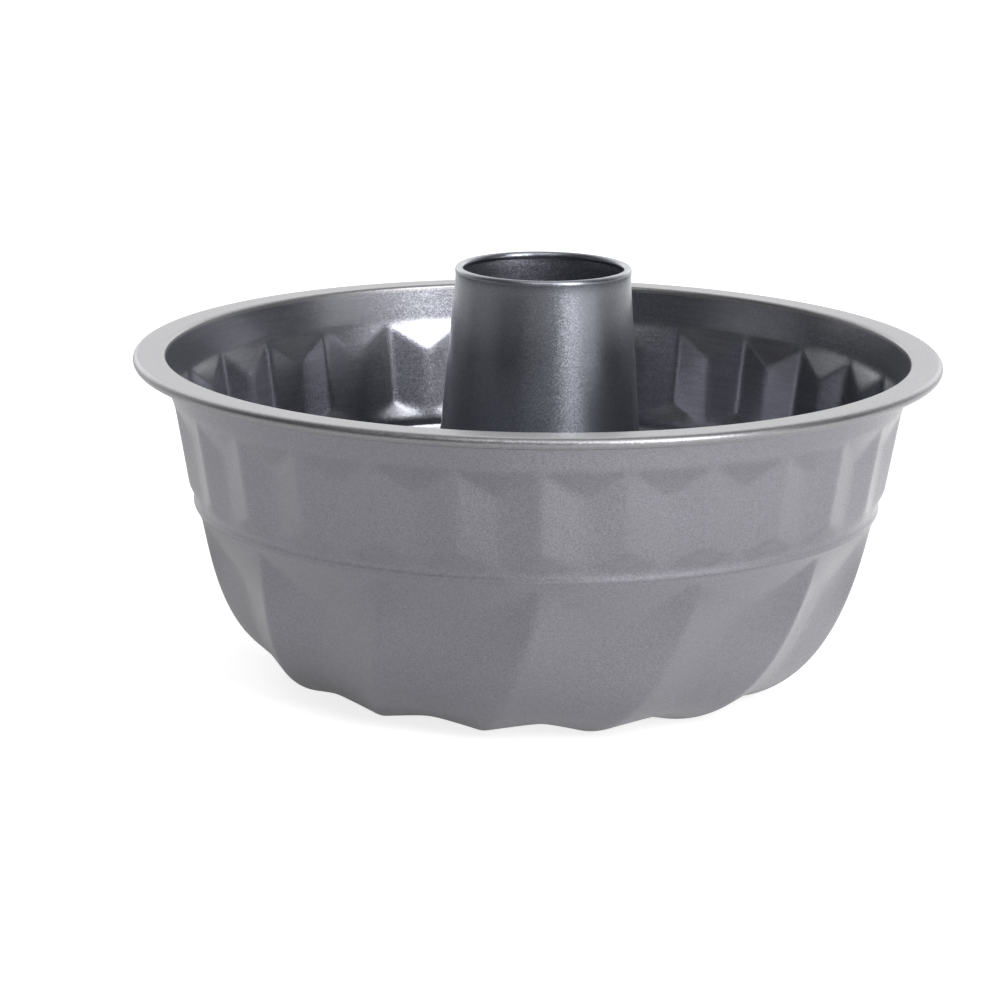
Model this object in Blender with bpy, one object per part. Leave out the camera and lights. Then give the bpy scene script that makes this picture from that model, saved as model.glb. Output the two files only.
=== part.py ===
"""Kugelhopf mould: a fluted pressed bowl and the tapered tube that is folded into its floor.

Metres, +Z up. The mould stands on the plane z = 0, and its tube is on the Z axis.
"""

import math

import bmesh
import bpy
from mathutils import Vector
from mathutils.geometry import interpolate_bezier

# Sheet of both pieces
SHEET = 0.0006
SEAM_GAP = 0.0003

# Rim: a flat flange whose edge is curled down
RIM_RADIUS = 0.125
RIM_HEIGHT = 0.102
FLANGE_WIDTH = 0.0091
RIM_CURL_RADIUS = 0.0017
RIM_FILLET = 0.0006

# Upper tier: straight flutes on a conical wall, depths measured down from the rim
UPPER_DRAFT = math.radians(10.2)
BAND_DEPTH = 0.0123
UPPER_VALLEY_START = 0.0211
UPPER_RIDGE_END = 0.038
UPPER_VALLEY_INSET = 0.0022

# Ring between the tiers
RING_DEPTH = 0.0423
RING_TALL = 0.0062
RING_STEP = 0.0015
RING_TAPER = 0.0014
RING_BULGE = 0.0004
RING_STEPS = 3

# Lower tier: wide flutes that swirl and curve under to the feet
LOWER_FLUTES = 14
CREST_WIDTH = 0.0022
LOWER_TRIANGLE_TALL = 0.0135
LOWER_VALLEY_INSET = 0.0078
RIDGE_DRAFT = math.radians(13)
VALLEY_DRAFT = math.radians(24)
RIDGE_TOP_REACH = 0.0152
RIDGE_FOOT_REACH = 0.032
VALLEY_TOP_REACH = 0.023
VALLEY_FOOT_REACH = 0.0268
SWIRL = math.radians(16)
EARLY_SWIRL = 0.3

# Feet and floor. The ridges fade out over the floor: share of the way in, share of the floor's height
FOOT_RADIUS = 0.064
FOOT_FLAT = 0.006
VALLEY_LIFT = 0.0035
FLOOR_HEIGHT = 0.0045
RIDGE_FADE = ((0, 0), (0.5, 0.58), (1, 1))
SEAM_LAND = 0.0052
SEAM_FILLET = 0.0006
SEAM_LIFT = 0.0005

# Tube. Its curl's angles are counted from outward towards up, the neck's depth from the curl's centre
TUBE_HEIGHT = 0.1286
TUBE_TOP_RADIUS = 0.0273
TUBE_DRAFT = math.radians(4.57)
TUBE_CURL_RADIUS = 0.00125
TUBE_CURL_PROUD = 0.0004
TUBE_CURL_START = math.radians(225)
TUBE_CURL_END = math.radians(-45)
TUBE_NECK_DEPTH = 0.0025
TUBE_SIDES = 48

# Mesh steps
CURL_STEP = math.radians(45)
TRIANGLE_STEPS = 2
FLUTE_STEPS = 8
CREASE_ANGLE = math.radians(11)

# Order of the columns in one lower flute: edge of the ridge, upper valley, both edges of the lower
# valley, upper valley, edge of the next ridge. A ridge comes first in these gaps between columns.
COLUMNS = 6
RIDGE_FIRST = {"upper": (0, 3), "lower": (0, 1)}

# Where the two upper valleys lie in one lower flute, as shares of its angle
UPPER_VALLEYS = (0.25, 0.75)


def clear_scene():
    for item in list(bpy.data.objects):
        bpy.data.objects.remove(item, do_unlink=True)


def metal(name, colour, roughness):
    material = bpy.data.materials.new(name)
    material.use_nodes = True
    shader = material.node_tree.nodes["Principled BSDF"]
    shader.inputs["Base Color"].default_value = (*colour, 1)
    shader.inputs["Metallic"].default_value = 1.0
    shader.inputs["Roughness"].default_value = roughness
    return material


def arc(centre, radius, start, end, step):
    """Points (radius, height) round a centre, angles counted from outward towards up."""
    count = max(1, round(abs(end - start) / step))
    angles = [start + (end - start) * i / count for i in range(count + 1)]
    return [(centre[0] + radius * math.cos(a), centre[1] + radius * math.sin(a)) for a in angles]


def place(radius, height, angle):
    """A point at an angle counted from the front (-Y) towards +X."""
    return Vector((radius * math.sin(angle), -radius * math.cos(angle), height))


def upper_wall_radius(depth):
    return RIM_RADIUS - FLANGE_WIDTH - math.tan(UPPER_DRAFT) * depth


def tube_wall_radius(height):
    rise = TUBE_HEIGHT - TUBE_CURL_RADIUS - height
    return TUBE_TOP_RADIUS - TUBE_CURL_PROUD + math.tan(TUBE_DRAFT) * rise


# Where the folded seam lies, from the tube's wall outwards
TUBE_FOOT_RADIUS = tube_wall_radius(FLOOR_HEIGHT + SHEET)
COLLAR_RADIUS = TUBE_FOOT_RADIUS + SEAM_GAP + SHEET
FOLD_RADIUS = SHEET / 2 + SEAM_GAP
COLLAR_BOTTOM = SEAM_LIFT + SHEET + FOLD_RADIUS

FLUTE_ANGLE = 2 * math.pi / LOWER_FLUTES
RING_TOP_RADIUS = upper_wall_radius(RING_DEPTH) - RING_STEP
RING_BOTTOM = (RING_TOP_RADIUS - RING_TAPER, RIM_HEIGHT - RING_DEPTH - RING_TALL)


def lower_curve(top, draft, top_reach, foot_reach, foot_height, steps):
    """Points down a lower ridge or valley, ending level at the feet."""
    foot = Vector((FOOT_RADIUS, foot_height))
    top = Vector(top)
    top_handle = top - top_reach * Vector((math.sin(draft), math.cos(draft)))
    foot_handle = foot + Vector((foot_reach, 0))
    return interpolate_bezier(top, top_handle, foot_handle, foot, steps + 1)


def lengths_to_end(points):
    """Length still to go from each point to the last one."""
    remaining = [0.0]
    for a, b in zip(reversed(points[:-1]), reversed(points[1:])):
        remaining.append(remaining[-1] + (b - a).length)
    return remaining[::-1]


def swirl_law(ridge_length):
    """Angle that the lower flutes have turned, by the length still to go to the foot."""
    def turned(remaining):
        share = 1 - remaining / ridge_length
        return SWIRL * (EARLY_SWIRL * share + (1 - EARLY_SWIRL) * share ** 2)
    return turned


def round_ring(radius, height, turned=0.0):
    """One ring of points at the same radius and height, in the bowl's columns."""
    return fluted_ring((radius, height, turned), (radius, height, turned), (radius, height, turned))


def fluted_ring(ridge, valley, between=None):
    """A ring from its lower ridge and valley (radius, height, turned). Between them lie the upper
    valleys, given like that too, or else halfway along the straight facet."""
    ring = []
    for flute in range(LOWER_FLUTES):
        front = flute * FLUTE_ANGLE
        ridge_side = [crease_edge(ridge, front + FLUTE_ANGLE * k, side) for k, side in ((0, 1), (1, -1))]
        valley_side = [crease_edge(valley, front + FLUTE_ANGLE / 2, side) for side in (-1, 1)]
        if between is None:
            middles = [(a + b) / 2 for a, b in zip(ridge_side, valley_side)]
        else:
            radius, height, turned = between
            middles = [place(radius, height, front + FLUTE_ANGLE * q - turned) for q in UPPER_VALLEYS]
        ring += [ridge_side[0], middles[0], *valley_side, middles[1], ridge_side[1]]
    return ring


def crease_edge(crease, angle, side):
    """One edge of the narrow round-over along a crease."""
    radius, height, turned = crease
    return place(radius, height, angle - turned + side * CREST_WIDTH / 2 / radius)


def rim_rings():
    """From the hidden end of the curl round to the underside of the flange and the band."""
    inside_radius = RIM_CURL_RADIUS - SHEET / math.cos(CURL_STEP / 2)
    curl_centre = (RIM_RADIUS - RIM_CURL_RADIUS, RIM_HEIGHT - SHEET - inside_radius)
    curl = arc(curl_centre, inside_radius, -math.pi, math.pi / 2, CURL_STEP)
    corner = (upper_wall_radius(SHEET), RIM_HEIGHT - SHEET)
    reach = RIM_FILLET * math.tan((math.pi / 2 - UPPER_DRAFT) / 2)
    centre = (corner[0] + reach, corner[1] - RIM_FILLET)
    fillet = arc(centre, RIM_FILLET, math.pi / 2, math.pi - UPPER_DRAFT, CURL_STEP)
    band_end = (upper_wall_radius(BAND_DEPTH), RIM_HEIGHT - BAND_DEPTH)
    return [round_ring(*point) for point in curl + fillet + [band_end]]


def upper_rings():
    """Straight flutes that begin below V-shaped triangles and end above upright ones."""
    valley_top = upper_wall_radius(UPPER_VALLEY_START) - UPPER_VALLEY_INSET
    share = (UPPER_RIDGE_END - UPPER_VALLEY_START) / (RING_DEPTH - UPPER_VALLEY_START)
    valley_radii = (valley_top, valley_top + (RING_TOP_RADIUS - valley_top) * share)
    rings = []
    for depth, valley_radius in zip((UPPER_VALLEY_START, UPPER_RIDGE_END), valley_radii):
        ridge = (upper_wall_radius(depth), RIM_HEIGHT - depth, 0)
        rings.append(fluted_ring(ridge, ridge, (valley_radius, RIM_HEIGHT - depth, 0)))
    return rings


def ring_rings():
    """The narrow bulged ring between the tiers."""
    rings = []
    for step in range(RING_STEPS + 1):
        share = step / RING_STEPS
        bulge = RING_BULGE * 4 * share * (1 - share)
        radius = RING_TOP_RADIUS - RING_TAPER * share + bulge
        rings.append(round_ring(radius, RIM_HEIGHT - RING_DEPTH - RING_TALL * share))
    return rings


def lower_rings():
    """Swirled flutes from the ring to the floor's edge, and the floor up to the seam's land."""
    ridge = lower_curve(RING_BOTTOM, RIDGE_DRAFT, RIDGE_TOP_REACH, RIDGE_FOOT_REACH, 0.0,
                        TRIANGLE_STEPS + FLUTE_STEPS)
    apex = (RING_BOTTOM[0] - LOWER_VALLEY_INSET, RING_BOTTOM[1] - LOWER_TRIANGLE_TALL)
    valley = lower_curve(apex, VALLEY_DRAFT, VALLEY_TOP_REACH, VALLEY_FOOT_REACH, VALLEY_LIFT,
                         FLUTE_STEPS)
    ridge_left = lengths_to_end(ridge)
    valley_left = lengths_to_end(valley)
    turned = swirl_law(ridge_left[0])

    halfway = TRIANGLE_STEPS // 2
    rings = [triangle_ring(ridge[halfway], apex, turned(ridge_left[halfway]), turned(valley_left[0]))]
    for step in range(FLUTE_STEPS + 1):
        on_ridge = step + TRIANGLE_STEPS
        rings.append(fluted_ring((*ridge[on_ridge], turned(ridge_left[on_ridge])),
                                 (*valley[step], turned(valley_left[step]))))
    return rings + floor_rings(turned)


def triangle_ring(ridge_point, apex, ridge_turned, apex_turned):
    """The ring halfway down the large triangles below the ring, whose sides are creases."""
    halfway = [(a + b) / 2 for a, b in zip(RING_BOTTOM, apex)]
    ring = fluted_ring((*ridge_point, ridge_turned), (*halfway, apex_turned / 2))
    top = fluted_ring((*RING_BOTTOM, 0), (*RING_BOTTOM, 0))
    bottom = fluted_ring((*apex, apex_turned), (*apex, apex_turned))
    for flute in range(LOWER_FLUTES):
        first = flute * COLUMNS
        ring[first + 1] = (top[first] + bottom[first + 2]) / 2
        ring[first + 4] = (top[first + 5] + bottom[first + 3]) / 2
    return ring


def floor_rings(turned):
    """Flats of the feet, the ridges fading out over the floor, the seam's land and its collar."""
    foot_end = FOOT_RADIUS - FOOT_FLAT
    land_edge = COLLAR_RADIUS + SEAM_LAND
    rings = []
    for share, ridge_share in RIDGE_FADE:
        radius = foot_end + (land_edge - foot_end) * share
        angle = turned(radius - FOOT_RADIUS)
        valley_height = VALLEY_LIFT + (FLOOR_HEIGHT - VALLEY_LIFT) * share
        rings.append(fluted_ring((radius, FLOOR_HEIGHT * ridge_share, angle),
                                 (radius, valley_height, angle)))
    centre = (COLLAR_RADIUS + SEAM_FILLET, FLOOR_HEIGHT - SEAM_FILLET)
    collar = arc(centre, SEAM_FILLET, math.pi / 2, math.pi, CURL_STEP)
    collar.append((COLLAR_RADIUS, COLLAR_BOTTOM))
    return rings + [round_ring(*point, angle) for point in collar]


def add_band(mesh, above, below, ridge_first):
    """Triangles between two rings of vertices, split along the creases of the flutes."""
    faces = []
    count = len(above)
    for j in range(count):
        k = (j + 1) % count
        a, b, c, d = above[j], below[j], below[k], above[k]
        if j % COLUMNS in ridge_first:
            corners = ((a, b, c), (a, c, d))
        else:
            corners = ((a, b, d), (b, c, d))
        faces += [mesh.faces.new(corner) for corner in corners]
    return faces


def sheet_object(name, bands, material):
    """A pressed sheet from rings of points. Each band is (rings, tier, is_round)."""
    mesh = bmesh.new()
    above = None
    round_faces = set()
    for rings, tier, is_round in bands:
        for ring in rings:
            below = [mesh.verts.new(point) for point in ring]
            if above is not None:
                faces = add_band(mesh, above, below, RIDGE_FIRST[tier])
                if is_round:
                    round_faces.update(faces)
            above = below
    for edge in mesh.edges:
        on_round = any(face in round_faces for face in edge.link_faces)
        edge.smooth = on_round or edge.calc_face_angle(0) < CREASE_ANGLE
    data = bpy.data.meshes.new(name)
    mesh.to_mesh(data)
    mesh.free()
    data.shade_smooth()
    data.materials.append(material)
    item = bpy.data.objects.new(name, data)
    bpy.context.collection.objects.link(item)

    shell = item.modifiers.new("Sheet", "SOLIDIFY")
    shell.thickness = SHEET
    shell.offset = -1
    shell.use_even_offset = True
    return item


def fluted_bowl():
    """Bowl pressed from one sheet: its outer and lower face runs from the curl to the collar."""
    between_tiers = ring_rings()
    bands = (
        (rim_rings(), "upper", True),
        (upper_rings(), "upper", False),
        (between_tiers[:1], "upper", False),
        (between_tiers[1:], "upper", True),
        (lower_rings(), "lower", False),
    )
    return sheet_object("fluted_bowl", bands, metal("bowl_coating", (0.20, 0.20, 0.22), 0.38))


def tube_profile():
    """The tube's face towards the food, from the hidden end of its curl down into the fold."""
    curl_centre = (TUBE_TOP_RADIUS - TUBE_CURL_RADIUS, TUBE_HEIGHT - TUBE_CURL_RADIUS)
    curl = arc(curl_centre, TUBE_CURL_RADIUS, TUBE_CURL_START, TUBE_CURL_END, CURL_STEP)
    neck = curl_centre[1] - TUBE_NECK_DEPTH
    foot = FLOOR_HEIGHT + SHEET
    wall = [(tube_wall_radius(height), height) for height in (neck, (neck + foot) / 2, foot)]
    fold_centre = (TUBE_FOOT_RADIUS + FOLD_RADIUS, COLLAR_BOTTOM)
    fold = arc(fold_centre, FOLD_RADIUS, math.pi, 2 * math.pi, CURL_STEP)
    fold_top = (fold_centre[0] + FOLD_RADIUS, FLOOR_HEIGHT - SEAM_FILLET - SEAM_GAP)
    return curl + wall + fold + [fold_top]


def centre_tube():
    """Tapered tube, curled inwards at the top, its foot folded out and up round the collar."""
    rings = []
    for radius, height in tube_profile():
        angles = [2 * math.pi * side / TUBE_SIDES for side in range(TUBE_SIDES)]
        rings.append([place(radius, height, angle) for angle in angles])
    material = metal("tube_coating", (0.13, 0.13, 0.15), 0.34)
    return sheet_object("centre_tube", ((rings, "upper", True),), material)


clear_scene()
fluted_bowl()
centre_tube()
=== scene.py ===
"""The looks of the kugelhopf mould: fine sheet surfaces, their coating, and a plain white studio.

Metres, +Z up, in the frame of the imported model. The mould stands on z = 0 with its tube on the Z axis.
"""

import math

import bpy
import numpy as np
from mathutils import Matrix, Vector


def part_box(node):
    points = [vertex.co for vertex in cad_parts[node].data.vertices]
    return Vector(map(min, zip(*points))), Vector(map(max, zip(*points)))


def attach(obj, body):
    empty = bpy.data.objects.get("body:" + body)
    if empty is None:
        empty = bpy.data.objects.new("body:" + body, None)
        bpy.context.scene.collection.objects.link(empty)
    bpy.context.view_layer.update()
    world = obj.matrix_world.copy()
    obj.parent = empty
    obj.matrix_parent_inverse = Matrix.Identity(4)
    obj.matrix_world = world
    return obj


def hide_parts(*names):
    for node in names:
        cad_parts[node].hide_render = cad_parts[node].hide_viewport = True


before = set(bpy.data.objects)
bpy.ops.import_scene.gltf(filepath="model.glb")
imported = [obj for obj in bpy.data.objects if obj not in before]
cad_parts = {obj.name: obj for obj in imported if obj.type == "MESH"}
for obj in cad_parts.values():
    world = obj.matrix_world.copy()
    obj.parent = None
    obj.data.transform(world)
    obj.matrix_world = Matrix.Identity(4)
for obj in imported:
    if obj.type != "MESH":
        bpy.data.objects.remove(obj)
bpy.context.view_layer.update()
bowl_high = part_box("fluted_bowl")[1]
tube_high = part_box("centre_tube")[1]

# Sheet
SHEET = 0.0006
SEAM_GAP = 0.0003

# Rim: a flat flange whose edge is curled down
RIM_RADIUS = bowl_high.x
RIM_HEIGHT = bowl_high.z
FLANGE_WIDTH = 0.0091
RIM_CURL_RADIUS = 0.0017
RIM_FILLET = 0.0006

# Upper tier, depths measured down from the rim
UPPER_DRAFT = math.radians(10.2)
BAND_DEPTH = 0.0123
UPPER_VALLEY_START = 0.0211
UPPER_RIDGE_END = 0.038
UPPER_VALLEY_INSET = 0.0022

# Ring between the tiers. Its lip is (how proud, how tall), along the lower edge
RING_DEPTH = 0.0423
RING_TALL = 0.0062
RING_STEP = 0.0015
RING_TAPER = 0.0014
RING_BULGE = 0.0001
RING_LIP = (0.0007, 0.0043)

# Lower tier. Reaches are the lengths of the curves' handles; the swirl is what a flute turns down to its foot
LOWER_FLUTES = 14
CREST_WIDTH = 0.0008
LOWER_TRIANGLE_TALL = 0.0135
LOWER_VALLEY_INSET = 0.0078
RIDGE_DRAFT = math.radians(13)
VALLEY_DRAFT = math.radians(24)
RIDGE_TOP_REACH = 0.0152
RIDGE_FOOT_REACH = 0.032
VALLEY_TOP_REACH = 0.023
VALLEY_FOOT_REACH = 0.0268
SWIRL = math.radians(16)
EARLY_SWIRL = 0.3
TRIANGLE_SHARE = 0.2

# Feet and floor. RIDGE_FADE gives a ridge's height as a share of the floor's, by its way from foot to seam
FOOT_RADIUS = 0.064
FOOT_FLAT = 0.006
VALLEY_LIFT = 0.0035
FLOOR_HEIGHT = 0.0045
RIDGE_FADE = ((0, 0.5, 1), (0, 0.58, 1))
SEAM_LAND = 0.0052
SEAM_FILLET = 0.0006
SEAM_LIFT = 0.0005

# Tube. Its flare is (how wide, how tall) at the top, and it leans towards +X by TUBE_LEAN at the top
TUBE_HEIGHT = tube_high.z
TUBE_TOP_RADIUS = 0.0273
TUBE_DRAFT = math.radians(4.57)
TUBE_CURL_RADIUS = 0.00125
TUBE_CURL_PROUD = 0.0004
TUBE_CURL_START = math.radians(225)
TUBE_CURL_END = math.radians(-12)
TUBE_NECK_DEPTH = 0.0015
TUBE_FLARE = (0.00032, 0.007)
TUBE_LEAN = 0.0013
TUBE_SIDES = 192

# Soft stretching of the sheet: width of a valley's round bottom, as a share of half a flute. A lower valley
# has SOFTNESS_AT_TOP of it at its apex, and SOFTNESS_GAIN more per share of the way down, up to all of it
UPPER_SOFTNESS = 0.09
LOWER_SOFTNESS = 0.17
SOFTNESS_AT_TOP = 0.05
SOFTNESS_GAIN = 4

# Mesh steps
COLUMNS = 48
ROW_STEP = 0.0009
ARC_STEP = math.radians(12)
CREASE_PASSES = 2
CURVE_SAMPLES = 401
FLANGE_ROWS = 4
LIP_ROWS = 8
LAND_ROWS = 3
TUBE_WALL_ROWS = 60


def arc(centre, radius, start, end, step=ARC_STEP):
    """Points (radius, height) round a centre, angles counted from outward towards up."""
    count = max(2, round(abs(end - start) / step))
    angles = np.linspace(start, end, count + 1)
    return np.stack([centre[0] + radius * np.cos(angles), centre[1] + radius * np.sin(angles)], axis=1)


def steps(length):
    return max(2, round(length / ROW_STEP))


def upper_wall_radius(depth):
    return RIM_RADIUS - FLANGE_WIDTH - math.tan(UPPER_DRAFT) * depth


def tube_wall_radius(height):
    rise = TUBE_HEIGHT - TUBE_CURL_RADIUS - height
    wide, tall = TUBE_FLARE
    flare = wide * max(0.0, 1 - (TUBE_HEIGHT - height) / tall) ** 2
    return TUBE_TOP_RADIUS - TUBE_CURL_PROUD + math.tan(TUBE_DRAFT) * rise + flare


TUBE_FOOT_RADIUS = tube_wall_radius(FLOOR_HEIGHT + SHEET)
COLLAR_RADIUS = TUBE_FOOT_RADIUS + SEAM_GAP + SHEET
FOLD_RADIUS = SHEET / 2 + SEAM_GAP
COLLAR_BOTTOM = SEAM_LIFT + SHEET + FOLD_RADIUS
FLUTE_ANGLE = 2 * math.pi / LOWER_FLUTES
RING_TOP_RADIUS = upper_wall_radius(RING_DEPTH) - RING_STEP
RING_BOTTOM = np.array([RING_TOP_RADIUS - RING_TAPER, RIM_HEIGHT - RING_DEPTH - RING_TALL])
APEX = RING_BOTTOM - np.array([LOWER_VALLEY_INSET, LOWER_TRIANGLE_TALL])
FOOT_END = FOOT_RADIUS - FOOT_FLAT

# Share of a flute's angle at each column, from one lower ridge to the next
FLUTE_SHARES = np.arange(COLUMNS) / COLUMNS


def bezier(start, end, start_handle, end_handle, shares):
    t = np.asarray(shares)[:, None]
    return ((1 - t) ** 3 * start + 3 * t * (1 - t) ** 2 * start_handle
            + 3 * t ** 2 * (1 - t) * end_handle + t ** 3 * end)


def lower_curve(top, draft, top_reach, foot_reach, foot_height, shares):
    """Points down a lower ridge or valley, ending level at the feet."""
    foot = np.array([FOOT_RADIUS, foot_height])
    handle = top - top_reach * np.array([math.sin(draft), math.cos(draft)])
    return bezier(top, foot, handle, foot + np.array([foot_reach, 0]), shares)


def ridge_curve(shares):
    return lower_curve(RING_BOTTOM, RIDGE_DRAFT, RIDGE_TOP_REACH, RIDGE_FOOT_REACH, 0.0, shares)


def valley_curve(shares):
    return lower_curve(APEX, VALLEY_DRAFT, VALLEY_TOP_REACH, VALLEY_FOOT_REACH, VALLEY_LIFT, shares)


def lengths_along(points):
    return np.concatenate([[0], np.cumsum(np.linalg.norm(np.diff(points, axis=0), axis=1))])


FINE = np.linspace(0, 1, CURVE_SAMPLES)
RIDGE_RUN = lengths_along(ridge_curve(FINE))
VALLEY_RUN = lengths_along(valley_curve(FINE))


def turned(remaining):
    """Angle that the lower flutes have turned, by the length still to go to the foot."""
    share = 1 - np.asarray(remaining) / RIDGE_RUN[-1]
    return SWIRL * (EARLY_SWIRL * share + (1 - EARLY_SWIRL) * share ** 2)


def ridge_turned(share):
    return turned(RIDGE_RUN[-1] - np.interp(share, FINE, RIDGE_RUN))


def valley_turned(share):
    return turned(VALLEY_RUN[-1] - np.interp(share, FINE, VALLEY_RUN))


def softened(share, softness):
    """Share of the way from valley to ridge, with the valley's bottom made round."""
    bottom = softness / 2
    return (np.sqrt(share ** 2 + softness ** 2) - bottom) / (math.sqrt(1 + softness ** 2) - bottom)


def round_row(radius, height, angle_turned=0.0):
    """One row of a flute at the same radius and height: arrays of radius, angle and height."""
    angles = FLUTE_SHARES * FLUTE_ANGLE - angle_turned
    return np.stack([np.full(COLUMNS, radius), angles, np.full(COLUMNS, height)])


def upper_row(depth):
    """A row across the upper flutes, with the V-shaped triangles above and upright ones below."""
    gap = FLUTE_ANGLE / 4
    off_ridge = 1 - np.abs(FLUTE_SHARES * 4 % 2 - 1)
    if depth < UPPER_VALLEY_START:
        crease = (depth - BAND_DEPTH) / (UPPER_VALLEY_START - BAND_DEPTH)
        off_ridge = np.minimum(off_ridge, crease)
    ridge = upper_wall_radius(depth)
    valley_top = upper_wall_radius(UPPER_VALLEY_START) - UPPER_VALLEY_INSET
    down = max(0.0, (depth - UPPER_VALLEY_START) / (RING_DEPTH - UPPER_VALLEY_START))
    valley = valley_top + (RING_TOP_RADIUS - valley_top) * down
    if depth < UPPER_VALLEY_START:
        valley = ridge - UPPER_VALLEY_INSET
    facet = ridge * valley * math.sin(gap) / (
        ridge * np.sin(off_ridge * gap) + valley * np.sin((1 - off_ridge) * gap))
    depth_of_v = ridge * math.cos(gap) - valley
    radius = facet + (softened(1 - off_ridge, UPPER_SOFTNESS) - (1 - off_ridge)) * depth_of_v
    if depth > UPPER_RIDGE_END:
        share = (depth - UPPER_RIDGE_END) / (RING_DEPTH - UPPER_RIDGE_END)
        ridge_end = upper_wall_radius(UPPER_RIDGE_END)
        radius = np.minimum(radius, ridge_end + (RING_TOP_RADIUS - ridge_end) * share)
    return np.stack([radius, FLUTE_SHARES * FLUTE_ANGLE, np.full(COLUMNS, RIM_HEIGHT - depth)])


def polar_point(point, angle):
    """(radius, height) at an angle, as x, y, z in the flute's own frame."""
    angle = np.asarray(angle)
    return np.stack([point[0] * np.cos(angle), point[0] * np.sin(angle),
                     np.broadcast_to(point[1], angle.shape)], axis=-1)


def flute_row(ridge, ridge_turn, inner, inner_turn, crease=0.0, softness=0.0):
    """A row across one lower flute. crease is how far from the valley, as a share of half a flute, the
    facets beside the ridges end; inside it the sheet is round at the inner point's radius."""
    half = FLUTE_ANGLE / 2
    off_valley = np.abs(2 * FLUTE_SHARES - 1)
    crest = CREST_WIDTH / 2 / ridge[0] / half
    on_left = FLUTE_SHARES <= 0.5
    edge_angle = np.where(on_left, crest * half, FLUTE_ANGLE - crest * half) - ridge_turn
    crease_angle = np.where(on_left, (1 - crease) * half, FLUTE_ANGLE - (1 - crease) * half) - inner_turn
    edge = polar_point(ridge, edge_angle)
    inside = polar_point(inner, crease_angle)
    share = np.clip((off_valley - crease) / max(1 - crest - crease, 1e-6), 0, 1)[:, None]
    place = inside + share * (edge - inside)
    if softness:
        rise = (polar_point(ridge, -ridge_turn) + polar_point(ridge, FLUTE_ANGLE - ridge_turn)) / 2
        place += (softened(share, softness) - share) * (rise - polar_point(inner, half - inner_turn))
    row = np.stack([np.hypot(place[:, 0], place[:, 1]), np.arctan2(place[:, 1], place[:, 0]), place[:, 2]])
    crest_angle = FLUTE_SHARES * FLUTE_ANGLE - ridge_turn
    middle_angle = FLUTE_SHARES * FLUTE_ANGLE - inner_turn
    on_crest = (off_valley > 1 - crest) & (crease < 1 - crest)
    top = np.stack([np.full(COLUMNS, ridge[0]), crest_angle, np.full(COLUMNS, ridge[1])])
    row = np.where(on_crest, top, row)
    in_middle = off_valley < crease
    middle = np.stack([np.full(COLUMNS, inner[0]), middle_angle, np.full(COLUMNS, inner[1])])
    return np.where(in_middle, middle, row)


def rim_rows():
    """From the hidden end of the curl round to the underside of the flange and the wall's fillet."""
    inside_radius = RIM_CURL_RADIUS - SHEET
    centre = (RIM_RADIUS - RIM_CURL_RADIUS, RIM_HEIGHT - RIM_CURL_RADIUS)
    curl = arc(centre, inside_radius, -math.pi, math.pi / 2)
    corner = (upper_wall_radius(SHEET), RIM_HEIGHT - SHEET)
    reach = RIM_FILLET * math.tan((math.pi / 2 - UPPER_DRAFT) / 2)
    fillet = arc((corner[0] + reach, corner[1] - RIM_FILLET), RIM_FILLET, math.pi / 2, math.pi - UPPER_DRAFT)
    flange = np.linspace(curl[-1], fillet[0], FLANGE_ROWS + 2)[1:-1]
    return [round_row(*point) for point in np.concatenate([curl, flange, fillet])]


def wall_rows():
    """Band, upper flutes and the ring between the tiers. The V-shaped triangles have as many rows as half of
    one has columns, so that their creases run through the points of the grid."""
    band_start = SHEET + RIM_FILLET * 2
    band = np.linspace(band_start, BAND_DEPTH, steps(BAND_DEPTH - band_start), endpoint=False)
    triangles = np.linspace(BAND_DEPTH, UPPER_VALLEY_START, COLUMNS // 4, endpoint=False)
    flutes = np.linspace(UPPER_VALLEY_START, RING_DEPTH, steps(RING_DEPTH - UPPER_VALLEY_START))
    rows = [round_row(upper_wall_radius(depth), RIM_HEIGHT - depth) for depth in band]
    rows += [upper_row(depth) for depth in np.concatenate([triangles, flutes])]
    lip_proud, lip_tall = RING_LIP
    lip_start = 1 - lip_tall / RING_TALL
    above_lip = np.linspace(0, lip_start, steps(RING_TALL - lip_tall))[1:-1]
    for share in np.concatenate([above_lip, np.linspace(lip_start, 1, LIP_ROWS + 1)[:-1]]):
        bulge = RING_BULGE * 4 * share * (1 - share)
        on_lip = max(0.0, (share - lip_start) / (1 - lip_start))
        lip = lip_proud * (1 - math.cos(2 * math.pi * on_lip)) / 2
        radius = RING_TOP_RADIUS - RING_TAPER * share + bulge + lip
        rows.append(round_row(radius, RIM_HEIGHT - RING_DEPTH - RING_TALL * share))
    return rows


def lower_rows():
    """Large triangles below the ring, then the swirled flutes down to the feet."""
    apex_turned = float(valley_turned(0.0))
    rows = []
    for share in np.linspace(0, 1, COLUMNS // 2, endpoint=False):
        on_ridge = TRIANGLE_SHARE * share
        ridge = ridge_curve([on_ridge])[0]
        inner = RING_BOTTOM + (APEX - RING_BOTTOM) * share
        rows.append(flute_row(ridge, float(ridge_turned(on_ridge)), inner, apex_turned * share,
                              crease=1 - share))
    for share in np.linspace(0, 1, steps(VALLEY_RUN[-1])):
        on_ridge = TRIANGLE_SHARE + (1 - TRIANGLE_SHARE) * share
        softness = LOWER_SOFTNESS * min(1.0, SOFTNESS_AT_TOP + share * SOFTNESS_GAIN)
        rows.append(flute_row(ridge_curve([on_ridge])[0], float(ridge_turned(on_ridge)),
                              valley_curve([share])[0], float(valley_turned(share)), softness=softness))
    return rows


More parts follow.
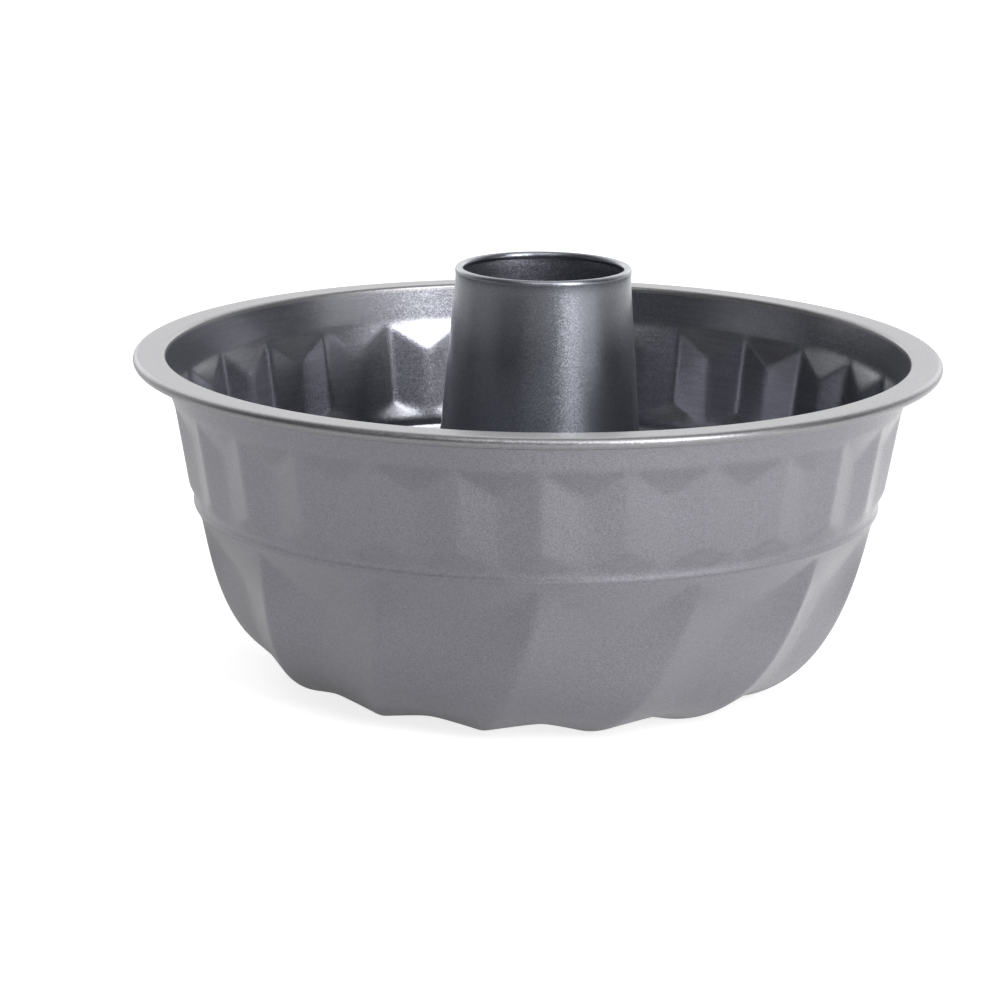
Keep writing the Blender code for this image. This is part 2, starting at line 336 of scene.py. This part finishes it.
def floor_rows():
    """Flats of the feet, and the ridges that fade out over the floor up to the seam's land."""
    land_edge = COLLAR_RADIUS + SEAM_LAND
    rows = []
    for radius in np.linspace(FOOT_RADIUS, land_edge, steps(FOOT_RADIUS - land_edge))[1:]:
        share = max(0.0, (FOOT_END - radius) / (FOOT_END - land_edge))
        ridge_height = FLOOR_HEIGHT * np.interp(share, *RIDGE_FADE)
        valley_height = VALLEY_LIFT + (FLOOR_HEIGHT - VALLEY_LIFT) * share
        angle = float(turned(radius - FOOT_RADIUS))
        rows.append(flute_row((radius, ridge_height), angle, (radius, valley_height), angle,
                              softness=LOWER_SOFTNESS))
    return rows


def collar_rows():
    """The flat land of the seam and the collar that turns down inside the tube's fold."""
    land_edge = COLLAR_RADIUS + SEAM_LAND
    angle = float(turned(land_edge - FOOT_RADIUS))
    centre = (COLLAR_RADIUS + SEAM_FILLET, FLOOR_HEIGHT - SEAM_FILLET)
    bend = arc(centre, SEAM_FILLET, math.pi / 2, math.pi)
    land = np.linspace((land_edge, FLOOR_HEIGHT), bend[0], LAND_ROWS + 2)[1:-1]
    end = np.array([[COLLAR_RADIUS, COLLAR_BOTTOM]])
    return [round_row(*point, angle) for point in np.concatenate([land, bend, end])]


def rounded(rows):
    """The same rows with their creases made round, by averaging each point with its neighbours."""
    grid = np.array(rows)
    lap = np.array([0, FLUTE_ANGLE, 0])[:, None]
    for _ in range(CREASE_PASSES):
        before = np.concatenate([grid[:, :, -1:] - lap, grid[:, :, :-1]], axis=2)
        after = np.concatenate([grid[:, :, 1:], grid[:, :, :1] + lap], axis=2)
        grid = grid / 2 + (before + after) / 4
        grid[1:-1] = grid[1:-1] / 2 + (grid[:-2] + grid[2:]) / 4
    return grid


def sheet_piece(name, grid, laps, materials, kinds, lean=0.0):
    """A sheet from a grid of (radius, angle, height) rows that repeats laps times round the axis. Each strip
    between two rows has a kind: its two faces get the materials (outer, inner) of that kind."""
    turns = np.arange(laps) * 2 * math.pi / laps
    radius = np.tile(grid[:, 0], laps)
    angle = np.concatenate([grid[:, 1] + turn for turn in turns], axis=1)
    height = np.tile(grid[:, 2], laps)
    points = np.stack([radius * np.sin(angle) + lean * height, -radius * np.cos(angle), height], axis=-1)
    row_count, column_count = radius.shape
    index = np.arange(row_count * column_count).reshape(row_count, column_count)
    beside = np.roll(index, -1, axis=1)
    faces = np.stack([index[:-1], index[1:], beside[1:], beside[:-1]], axis=-1).reshape(-1, 4)
    data = bpy.data.meshes.new(name)
    data.vertices.add(index.size)
    data.vertices.foreach_set("co", points.reshape(-1))
    data.loops.add(faces.size)
    data.loops.foreach_set("vertex_index", faces.reshape(-1))
    data.polygons.add(len(faces))
    data.polygons.foreach_set("loop_start", np.arange(0, faces.size, 4))
    data.update(calc_edges=True)
    data.validate()
    data.shade_smooth()
    data.polygons.foreach_set("material_index", np.repeat(np.array(kinds, dtype=np.int32), column_count))
    for material in [outer for outer, _ in materials] + [inner for _, inner in materials]:
        data.materials.append(material)
    piece = bpy.data.objects.new(name, data)
    bpy.context.collection.objects.link(piece)
    shell = piece.modifiers.new("Sheet", "SOLIDIFY")
    shell.thickness = SHEET
    shell.offset = -1
    shell.use_even_offset = True
    shell.material_offset = len(materials)
    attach(piece, "root")
    return piece


def fluted_bowl(outside, rim, inside):
    flutes = rounded(wall_rows() + lower_rows() + floor_rows())
    edge = np.array(rim_rows())
    grid = np.concatenate([edge, flutes, np.array(collar_rows())])
    kinds = [0] * len(edge) + [1] * (len(grid) - len(edge) - 1)
    piece = sheet_piece("fluted_bowl_sheet", grid, LOWER_FLUTES, [(outside, rim), (outside, inside)], kinds)
    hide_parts("fluted_bowl")
    return piece


def tube_profile():
    """The tube's face towards the food, from the hidden end of its curl down into the fold."""
    curl_centre = (TUBE_TOP_RADIUS - TUBE_CURL_RADIUS, TUBE_HEIGHT - TUBE_CURL_RADIUS)
    curl = arc(curl_centre, TUBE_CURL_RADIUS, TUBE_CURL_START, TUBE_CURL_END)
    neck = curl_centre[1] - TUBE_NECK_DEPTH
    foot = FLOOR_HEIGHT + SHEET
    wall = np.array([(tube_wall_radius(height), height) for height in np.linspace(neck, foot, TUBE_WALL_ROWS)])
    fold_centre = (TUBE_FOOT_RADIUS + FOLD_RADIUS, COLLAR_BOTTOM)
    fold = arc(fold_centre, FOLD_RADIUS, math.pi, 2 * math.pi)
    fold_top = np.array([[fold_centre[0] + FOLD_RADIUS, FLOOR_HEIGHT - SEAM_FILLET - SEAM_GAP]])
    return np.concatenate([curl, wall, fold, fold_top])


def centre_tube(outside, inside):
    angles = np.arange(TUBE_SIDES) * 2 * math.pi / TUBE_SIDES
    grid = np.array([np.stack([np.full(TUBE_SIDES, r), angles, np.full(TUBE_SIDES, z)])
                     for r, z in tube_profile()])
    lean = TUBE_LEAN / TUBE_HEIGHT
    piece = sheet_piece("centre_tube_sheet", grid, 1, [(outside, inside)], [0] * (len(grid) - 1), lean)
    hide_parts("centre_tube")
    return piece


class Nodes:
    """Short ways to add and join the nodes of a material or a world."""

    def __init__(self, owner):
        owner.use_nodes = True
        self.owner = owner
        self.tree = owner.node_tree
        self.shader = self.tree.nodes.get("Principled BSDF")

    def add(self, kind, inputs=None, **settings):
        node = self.tree.nodes.new(kind)
        for key, value in settings.items():
            setattr(node, key, value)
        for key, value in (inputs or {}).items():
            if isinstance(value, bpy.types.NodeSocket):
                self.tree.links.new(value, node.inputs[key])
            else:
                node.inputs[key].default_value = value
        return node

    def maths(self, operation, *values):
        return self.add("ShaderNodeMath", dict(enumerate(values)), operation=operation).outputs[0]

    def link(self, output, socket):
        self.tree.links.new(output, socket)


def unevenness(nodes, fac, low, high):
    """A noise's middle part, stretched to run from low to high."""
    return nodes.add("ShaderNodeMapRange", {"Value": fac, "From Min": 0.3, "From Max": 0.7, "To Min": low,
                                            "To Max": high}).outputs[0]


def coated_steel(name, colour, roughness, flake_tilt, top_roughness, streak=0.0, upright_shine=0.0):
    """Dark metallic non-stick coating: metal flakes under a clear, slightly uneven top. streak is the
    strength of the streaks round a drawn sheet, and upright_shine stretches the highlights up and down."""
    nodes = Nodes(bpy.data.materials.new(name))
    place = nodes.add("ShaderNodeTexCoord").outputs["Object"]
    flakes = nodes.add("ShaderNodeTexVoronoi", {"Vector": place, "Scale": FLAKE_SCALE}, feature="F1")
    grain = nodes.add("ShaderNodeTexNoise", {"Vector": place, "Scale": GRAIN_SCALE, "Detail": 3.0})
    cloud = nodes.add("ShaderNodeTexNoise", {"Vector": place, "Scale": CLOUD_SCALE, "Detail": 4.0})

    flake_shade = nodes.add("ShaderNodeSeparateColor", {"Color": flakes.outputs["Color"]}).outputs["Red"]
    darkest, lightest = FLAKE_LIGHT
    flake_light = nodes.add("ShaderNodeMapRange", {"Value": flake_shade, "To Min": darkest, "To Max": lightest})
    cloud_light = unevenness(nodes, cloud.outputs["Fac"], 1 - CLOUD_LIGHT, 1 + CLOUD_LIGHT)
    light = nodes.maths("MULTIPLY", flake_light.outputs[0], cloud_light)
    if streak:
        long_way = nodes.add("ShaderNodeVectorMath", {0: place, 1: STREAK_SCALE}, operation="MULTIPLY")
        drawn = nodes.add("ShaderNodeTexNoise", {"Vector": long_way.outputs[0], "Scale": 1.0, "Detail": 2.0})
        light = nodes.maths("MULTIPLY", light, unevenness(nodes, drawn.outputs["Fac"], 1 - streak, 1 + streak))
    tint = nodes.add("ShaderNodeVectorMath", {0: colour, "Scale": light}, operation="SCALE")
    nodes.link(tint.outputs[0], nodes.shader.inputs["Base Color"])

    tilt = nodes.add("ShaderNodeVectorMath", {0: flakes.outputs["Color"], 1: (0.5, 0.5, 0.5)},
                     operation="SUBTRACT")
    tilt = nodes.add("ShaderNodeVectorMath", {0: tilt.outputs[0], "Scale": flake_tilt}, operation="SCALE")
    normal = nodes.add("ShaderNodeNewGeometry").outputs["Normal"]
    tilted = nodes.add("ShaderNodeVectorMath", {0: normal, 1: tilt.outputs[0]}, operation="ADD")
    tilted = nodes.add("ShaderNodeVectorMath", {0: tilted.outputs[0]}, operation="NORMALIZE")
    nodes.link(tilted.outputs[0], nodes.shader.inputs["Normal"])

    rough = unevenness(nodes, cloud.outputs["Fac"], roughness - CLOUD_ROUGHNESS, roughness + CLOUD_ROUGHNESS)
    nodes.link(rough, nodes.shader.inputs["Roughness"])
    strength, distance = PEEL
    peel = nodes.add("ShaderNodeBump", {"Height": grain.outputs["Fac"], "Strength": strength,
                                        "Distance": distance})
    nodes.link(peel.outputs[0], nodes.shader.inputs["Coat Normal"])
    nodes.shader.inputs["Metallic"].default_value = 1.0
    nodes.shader.inputs["Anisotropic"].default_value = upright_shine
    nodes.shader.inputs["Anisotropic Rotation"].default_value = QUARTER_TURN
    nodes.shader.inputs["Coat Weight"].default_value = TOP_WEIGHT
    nodes.shader.inputs["Coat Roughness"].default_value = top_roughness
    nodes.shader.inputs["Coat IOR"].default_value = TOP_IOR
    return nodes.owner


# Camera, fitted to the photograph: it looks at the rim's centre and is shifted to the photograph's framing
CAMERA_ELEVATION = math.radians(11.395)
CAMERA_AZIMUTH = math.radians(-0.8)
CAMERA_DISTANCE = 1.15232
CAMERA_ROLL = math.radians(0.7735)
FOCAL_PIXELS = 3717.02
PICTURE_PIXELS = 1000
RIM_CENTRE_PIXEL = (538.229, 350.329)
SENSOR_WIDTH = 36.0


def camera():
    data = bpy.data.cameras.new("camera")
    data.sensor_width = SENSOR_WIDTH
    data.lens = FOCAL_PIXELS * SENSOR_WIDTH / PICTURE_PIXELS
    data.shift_x = (PICTURE_PIXELS / 2 - RIM_CENTRE_PIXEL[0]) / PICTURE_PIXELS
    data.shift_y = (RIM_CENTRE_PIXEL[1] - PICTURE_PIXELS / 2) / PICTURE_PIXELS
    data.clip_start = 0.05
    data.clip_end = 60.0
    item = bpy.data.objects.new("camera", data)
    bpy.context.collection.objects.link(item)
    level = CAMERA_DISTANCE * math.cos(CAMERA_ELEVATION)
    item.location = (level * math.sin(CAMERA_AZIMUTH), -level * math.cos(CAMERA_AZIMUTH),
                     RIM_HEIGHT + CAMERA_DISTANCE * math.sin(CAMERA_ELEVATION))
    turn = (Matrix.Rotation(CAMERA_AZIMUTH, 3, "Z") @ Matrix.Rotation(math.pi / 2 - CAMERA_ELEVATION, 3, "X")
            @ Matrix.Rotation(CAMERA_ROLL, 3, "Z"))
    item.rotation_euler = turn.to_euler()
    bpy.context.scene.camera = item
    return item


# Studio. A softbox stands at the front right: azimuth, elevation, width and height in degrees, azimuth counted
# from the front towards +X. The light panels have the same, then a soft edge in degrees and their light: 1 is
# white. The light overhead sets in between OVERHEAD_START's two elevations.
SOFTBOX = (38, 29, 20, 31.5)
SOFTBOX_LIGHT = 11.0
SOFTBOX_DISTANCE = 2.2
PANELS = (
    (34, 5, 26, 14, 5, 1.6),
    (16, 54, 90, 28, 30, 2.5),
    (62, 2, 24, 13, 5, 2.6),
    (-2, 12, 36, 16, 12, 0.6),
    (-77, 6, 34, 14, 8, 0.35),
    (-60, 32, 50, 34, 16, 0.14),
    (95, 26, 44, 40, 16, 0.15),
    (180, 28, 84, 52, 12, 1.16),
    (152, 20, 28, 44, 12, 0.5),
    (-152, 20, 28, 44, 12, 0.5),
    (125, 24, 30, 60, 12, 0.6),
    (-122, 24, 34, 60, 12, 0.6),
)
OVERHEAD_LIGHT = 0.7
OVERHEAD_START = (56.0, 72.0)
ROOM_LIGHT = 0.04

# Floor: white to the camera. In the coating's reflections it glows with painted light: a painted pool of light,
# brighter at the mould's right than at its left, painted shade under the mould and far away, and the deepest
# painted shade in a soft ring round it (radius, reach, level). Each pair of distances is where a change begins
# and ends, and each level is a share of the open floor's glow.
FLOOR_SIZE = 12.0
FLOOR_COLOUR = 0.55
FLOOR_SEEN = 0.8
FLOOR_LEFT_GLOW = 0.3
FLOOR_RIGHT_GLOW = 0.64
FLOOR_GLOW_REACH = 0.07
UNDER_MOULD = (0.06, 0.145)
UNDER_MOULD_LEVEL = 0.46
FLOOR_FAR = (0.2, 0.36)
FLOOR_FAR_LEVEL = 0.84
FLOOR_DIM_RING = (0.168, 0.046, 0.32)
TABLE_FRONT = (0.6, 1.4)


def ramp(nodes, value, low, high, start, end):
    """A smooth step from start to end while the value goes from low to high."""
    node = nodes.add("ShaderNodeMapRange", {"Value": value, "From Min": low, "From Max": high, "To Min": start,
                                            "To Max": end}, interpolation_type="SMOOTHSTEP")
    return node.outputs[0]


def floor():
    data = bpy.data.meshes.new("floor")
    half = FLOOR_SIZE / 2
    corners = [(-half, -half, 0), (half, -half, 0), (half, half, 0), (-half, half, 0)]
    data.from_pydata(corners, [], [(0, 1, 2, 3)])
    nodes = Nodes(bpy.data.materials.new("floor_paper"))
    nodes.tree.nodes.remove(nodes.shader)
    place = nodes.add("ShaderNodeTexCoord").outputs["Object"]
    place = nodes.add("ShaderNodeSeparateXYZ", {0: place}).outputs
    # Painted pool of light: the glow is brighter at the mould's right than at its left.
    across = ramp(nodes, place["X"], -FLOOR_GLOW_REACH, FLOOR_GLOW_REACH, FLOOR_LEFT_GLOW, FLOOR_RIGHT_GLOW)
    on_table = ramp(nodes, place["Y"], -TABLE_FRONT[1], -TABLE_FRONT[0], 0.0, 1.0)
    from_axis = nodes.maths("SQRT", nodes.maths("ADD", nodes.maths("POWER", place["X"], 2.0),
                                                nodes.maths("POWER", place["Y"], 2.0)))
    # Painted shade in the glow: darker under the mould and far away.
    open_floor = ramp(nodes, from_axis, *UNDER_MOULD, UNDER_MOULD_LEVEL, 1.0)
    open_floor = nodes.maths("MULTIPLY", open_floor, ramp(nodes, from_axis, *FLOOR_FAR, 1.0, FLOOR_FAR_LEVEL))
    # A soft ring of painted shade round the mould.
    ring_radius, ring_reach, ring_level = FLOOR_DIM_RING
    from_ring = nodes.maths("ABSOLUTE", nodes.maths("SUBTRACT", from_axis, ring_radius))
    off_ring = ramp(nodes, from_ring, 0.0, ring_reach, ring_level, 1.0)
    open_floor = nodes.maths("MULTIPLY", open_floor, off_ring)
    mirrored_glow = nodes.maths("MULTIPLY", nodes.maths("MULTIPLY", across, on_table), open_floor)
    path = nodes.add("ShaderNodeLightPath").outputs
    mirrored = nodes.maths("ADD", path["Is Glossy Ray"], path["Is Transmission Ray"])
    glow = nodes.maths("MULTIPLY", mirrored, mirrored_glow)
    glow = nodes.maths("ADD", glow, nodes.maths("MULTIPLY", path["Is Camera Ray"], FLOOR_SEEN))
    emission = nodes.add("ShaderNodeEmission", {"Color": (1, 1, 1, 1), "Strength": glow})
    paper = nodes.add("ShaderNodeBsdfDiffuse", {"Color": (FLOOR_COLOUR,) * 3 + (1,)})
    both = nodes.add("ShaderNodeAddShader", {0: emission.outputs[0], 1: paper.outputs[0]})
    nodes.link(both.outputs[0], nodes.tree.nodes["Material Output"].inputs["Surface"])
    data.materials.append(nodes.owner)
    item = bpy.data.objects.new("floor", data)
    bpy.context.collection.objects.link(item)


def direction(azimuth, elevation):
    """Unit vector at an azimuth and elevation in degrees."""
    azimuth, elevation = math.radians(azimuth), math.radians(elevation)
    return Vector((math.sin(azimuth) * math.cos(elevation), -math.cos(azimuth) * math.cos(elevation),
                   math.sin(elevation)))


def softbox():
    """The rectangular area lamp, facing the mould."""
    azimuth, elevation, width, height = SOFTBOX
    size = [2 * SOFTBOX_DISTANCE * math.tan(math.radians(angle / 2)) for angle in (width, height)]
    data = bpy.data.lights.new("softbox", "AREA")
    data.shape = "RECTANGLE"
    data.size, data.size_y = size
    data.energy = SOFTBOX_LIGHT * math.pi * size[0] * size[1]
    item = bpy.data.objects.new("softbox", data)
    away = direction(azimuth, elevation)
    item.location = away * SOFTBOX_DISTANCE + Vector((0, 0, RIM_HEIGHT))
    item.rotation_euler = away.to_track_quat("Z", "Y").to_euler()
    bpy.context.collection.objects.link(item)


def room():
    """Plain white panels round a dim room, as the world's light. The camera sees white everywhere."""
    world = bpy.data.worlds.new("room")
    bpy.context.scene.world = world
    nodes = Nodes(world)
    look = nodes.add("ShaderNodeTexCoord").outputs["Generated"]
    look = nodes.add("ShaderNodeSeparateXYZ", {0: look}).outputs
    front = nodes.maths("MULTIPLY", look["Y"], -1.0)
    azimuth = nodes.maths("DEGREES", nodes.maths("ARCTAN2", look["X"], front))
    elevation = nodes.maths("DEGREES", nodes.maths("ARCSINE", look["Z"]))
    light = ramp(nodes, elevation, *OVERHEAD_START, ROOM_LIGHT, OVERHEAD_LIGHT)
    for panel_azimuth, panel_elevation, width, height, edge, strength in PANELS:
        aside = nodes.maths("ABSOLUTE", nodes.maths("WRAP", nodes.maths("SUBTRACT", azimuth, panel_azimuth),
                                                    180.0, -180.0))
        above = nodes.maths("ABSOLUTE", nodes.maths("SUBTRACT", elevation, panel_elevation))
        across = ramp(nodes, aside, (width - edge) / 2, (width + edge) / 2, strength, 0.0)
        upright = ramp(nodes, above, (height - edge) / 2, (height + edge) / 2, 1.0, 0.0)
        light = nodes.maths("ADD", light, nodes.maths("MULTIPLY", across, upright))
    seen = nodes.add("ShaderNodeLightPath").outputs["Is Camera Ray"]
    light = nodes.maths("ADD", nodes.maths("MULTIPLY", light, nodes.maths("SUBTRACT", 1.0, seen)), seen)
    nodes.link(light, nodes.tree.nodes["Background"].inputs["Strength"])
    nodes.tree.nodes["Background"].inputs["Color"].default_value = (1, 1, 1, 1)


# Coatings: sizes of their patterns as a scale, and how strong they are
FLAKE_SCALE = 3400.0
GRAIN_SCALE = 900.0
CLOUD_SCALE = 24.0
STREAK_SCALE = (70.0, 70.0, 1100.0)
FLAKE_LIGHT = (0.86, 1.15)
CLOUD_LIGHT = 0.03
CLOUD_ROUGHNESS = 0.03
PEEL = (0.1, 0.0001)
TOP_WEIGHT = 0.8
TOP_IOR = 1.5
QUARTER_TURN = 0.25

# Each coating: colour, roughness, how far its flakes tilt, the clear top's roughness, and where it has them
# its streaks and its upright shine
OUTSIDE = ((0.242, 0.236, 0.266), 0.4, 0.16, 0.26)
# The rim's coating is the inside coating's colour made lighter: the extra lightness is painted sheen on the
# flange and a painted highlight on its curl.
RIM = ((0.268, 0.266, 0.282), 0.4, 0.12, 0.28)
INSIDE = ((0.214, 0.218, 0.248), 0.33, 0.1, 0.18, 0.08)
# The tube's coating is the inside coating made lighter: the extra lightness is a painted highlight that
# brightens the tube's shine.
TUBE = ((0.236, 0.246, 0.282), 0.35, 0.1, 0.22, 0.0, 0.55)
# The bore has the outside's coating, made much lighter: the extra lightness is painted light inside the bore.
BORE_WITH_PAINTED_LIGHT = ((0.33, 0.33, 0.39), 0.42, 0.18, 0.24)

camera()
fluted_bowl(coated_steel("bowl_outside", *OUTSIDE), coated_steel("bowl_rim_painted_sheen", *RIM),
            coated_steel("bowl_inside", *INSIDE))
centre_tube(coated_steel("tube_outside_painted_highlight", *TUBE), coated_steel("tube_bore_painted_light", *BORE_WITH_PAINTED_LIGHT))
floor()
softbox()
room()
bpy.context.scene.view_settings.view_transform = "Standard"
